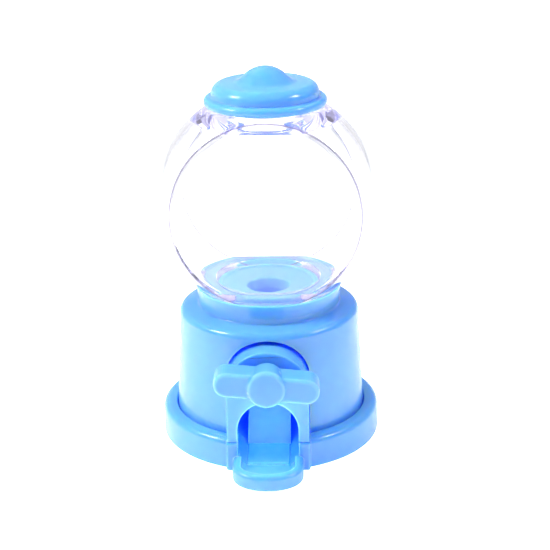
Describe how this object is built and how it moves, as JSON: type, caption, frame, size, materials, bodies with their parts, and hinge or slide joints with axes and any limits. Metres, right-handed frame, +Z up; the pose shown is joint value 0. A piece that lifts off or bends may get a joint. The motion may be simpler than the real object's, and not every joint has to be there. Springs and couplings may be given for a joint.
{
  "type": "gumball machine",
  "caption": "Desktop toy gumball machine: clear flat-faced globe with a lift-off cap on a round body, with a turning T-handle, candy drum, chute and tray.",
  "frame": {"origin": "centre of the round base's underside, on the body's axis", "axes": "+Z up along the body's axis, -Y towards the handle and the tray, +X to the right as seen from the front"},
  "size_m": [0.053, 0.0636, 0.09],
  "materials": {
    "blue_plastic": "sky-blue moulded polystyrene, glossy and slightly translucent",
    "pale_blue_plastic": "sky-blue moulded polystyrene, satin",
    "clear_plastic": "clear moulded polystyrene, polished",
    "zinc_steel": "zinc-plated self-tapping screws"
  },
  "bodies": {
    "stand": {"base": "blue_plastic", "body_shell": "blue_plastic", "front_housing": "blue_plastic", "globe": "clear_plastic", "hopper": "pale_blue_plastic", "drum_cradle": "pale_blue_plastic", "chute_ramp": "pale_blue_plastic", "base_screw_1": "zinc_steel", "base_screw_2": "zinc_steel", "base_screw_3": "zinc_steel", "base_screw_4": "zinc_steel", "ramp_screw_1": "zinc_steel", "ramp_screw_2": "zinc_steel", "hopper_screw_left": "zinc_steel", "hopper_screw_right": "zinc_steel", "housing_screw_left": "zinc_steel", "housing_screw_right": "zinc_steel"},
    "rotor": {"handle": "blue_plastic", "dispensing_drum": "pale_blue_plastic", "drum_screw": "zinc_steel"},
    "cap": {"lid": "blue_plastic"}
  },
  "joints": [
    {"name": "handle_turn", "type": "hinge", "parent": "stand", "child": "rotor", "pos_m": [0, -0.026, 0.0237], "axis": [0, 1, 0], "continuous": true},
    {"name": "lid_lift", "type": "slide", "parent": "stand", "child": "cap", "axis": [0, 0, 1], "range_m": [0, 0.02]}
  ]
}
